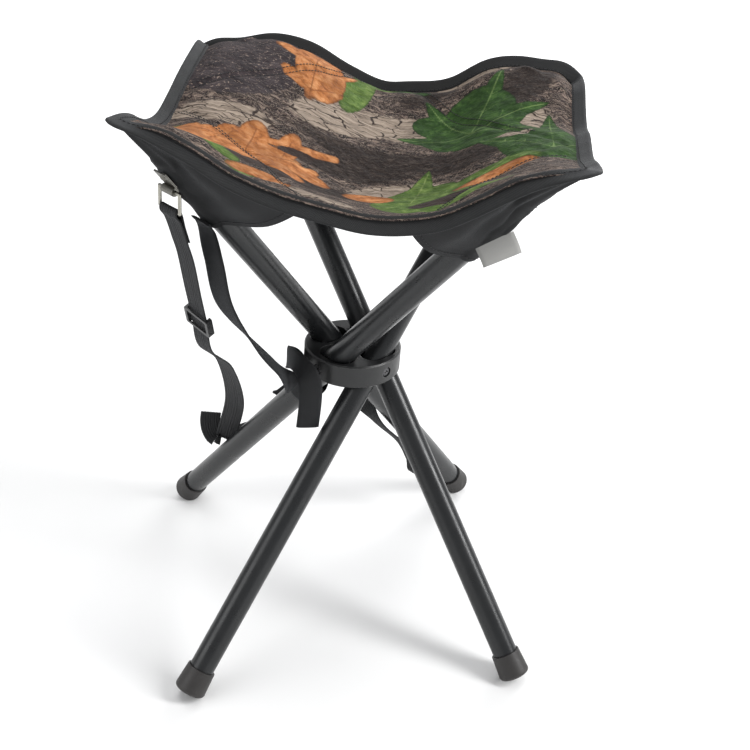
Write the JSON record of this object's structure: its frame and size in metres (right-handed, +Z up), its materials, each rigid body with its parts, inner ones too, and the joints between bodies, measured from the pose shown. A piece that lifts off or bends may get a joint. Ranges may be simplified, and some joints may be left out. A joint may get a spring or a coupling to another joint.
{
  "type": "folding camp stool",
  "caption": "Folding camp stool: crossed tube legs pivoting in a moulded ring hub, square fabric sling seat in corner pockets, webbing carry strap and hook-and-loop tie.",
  "frame": {"origin": "on the ground plane, on the axis of the hub, with the stool open", "axes": "+Z up along the hub axis, front of the stool towards -Y"},
  "size_m": [0.3522, 0.3522, 0.495],
  "materials": {
    "tube": "charcoal powder coat, satin",
    "hub": "moulded nylon, fine grain",
    "foot": "moulded foot, matt",
    "plug": "moulded plug",
    "screw": "black oxide steel",
    "seat": "printed polyester canvas, woodland leaf print",
    "binding": "ribbed black binding tape",
    "pocket": "black polyester canvas",
    "webbing": "black ribbed polypropylene webbing",
    "tie": "black hook-and-loop tape",
    "slider": "black acetal",
    "wire": "pale nickel-brass wire",
    "bracket": "plated strip metal",
    "label": "blank woven label"
  },
  "bodies": {
    "hub": {"hub_ring": "hub", "seat_panel": "seat", "seat_binding": "binding", "pivot_screw_1": "screw", "pivot_screw_2": "screw", "pivot_screw_3": "screw", "pivot_screw_4": "screw"},
    "leg_1": {"leg_tube_1": "tube", "foot_cap_1": "foot", "end_plug_1": "plug", "corner_pocket_1": "pocket", "strap_bracket_upper": "bracket", "strap_bracket_lower": "bracket", "bracket_rivet_upper": "bracket", "bracket_rivet_lower": "bracket", "carry_strap_upper": "webbing", "carry_strap_lower": "webbing", "tie_strap_lead": "tie"},
    "leg_2": {"leg_tube_2": "tube", "foot_cap_2": "foot", "end_plug_2": "plug", "corner_pocket_2": "pocket"},
    "leg_3": {"leg_tube_3": "tube", "foot_cap_3": "foot", "end_plug_3": "plug", "corner_pocket_3": "pocket", "care_label": "label", "tie_strap_wrap": "tie", "tie_strap_tail": "tie"},
    "leg_4": {"leg_tube_4": "tube", "foot_cap_4": "foot", "end_plug_4": "plug", "corner_pocket_4": "pocket"},
    "ring_upper": {"strap_ring_upper": "wire"},
    "ring_lower": {"strap_ring_lower": "wire"},
    "slider": {"strap_slider": "slider"}
  },
  "joints": [
    {"name": "leg_1_fold", "type": "hinge", "parent": "hub", "child": "leg_1", "pos_m": [-0.01718, 0.01718, 0.26001], "axis": [-0.7071, 0.7071, 0], "range_deg": [0, 38.9], "deforming": ["corner_pocket_1", "seat_panel", "seat_binding", "carry_strap_upper", "carry_strap_lower", "tie_strap_lead"]},
    {"name": "leg_2_fold", "type": "hinge", "parent": "hub", "child": "leg_2", "pos_m": [0.01718, 0.01718, 0.26001], "axis": [0.7071, 0.7071, 0], "range_deg": [0, 38.9], "deforming": ["corner_pocket_2"]},
    {"name": "leg_3_fold", "type": "hinge", "parent": "hub", "child": "leg_3", "pos_m": [-0.01718, -0.01718, 0.26001], "axis": [-0.7071, -0.7071, 0], "range_deg": [0, 38.9], "deforming": ["corner_pocket_3", "care_label"]},
    {"name": "leg_4_fold", "type": "hinge", "parent": "hub", "child": "leg_4", "pos_m": [0.01718, -0.01718, 0.26001], "axis": [0.7071, -0.7071, 0], "range_deg": [0, 38.9], "deforming": ["corner_pocket_4"]},
    {"name": "upper_ring_swing", "type": "hinge", "parent": "leg_1", "child": "ring_upper", "pos_m": [-0.1421, -0.10773, 0.45219], "axis": [-0.7071, 0.7071, 0], "range_deg": [-25, 25]},
    {"name": "lower_ring_swing", "type": "hinge", "parent": "leg_1", "child": "ring_lower", "pos_m": [0.07824, 0.11261, 0.06887], "axis": [-0.7071, 0.7071, 0], "range_deg": [-25, 25]},
    {"name": "slider_run", "type": "slide", "parent": "leg_1", "child": "slider", "axis": [-0.0777, -0.4145, 0.9067], "range_m": [-0.02, 0.03]}
  ],
  "couplings": [
    {"joint": "leg_2_fold", "follows": "leg_1_fold", "ratio": 1},
    {"joint": "leg_3_fold", "follows": "leg_1_fold", "ratio": 1},
    {"joint": "leg_4_fold", "follows": "leg_1_fold", "ratio": 1}
  ]
}
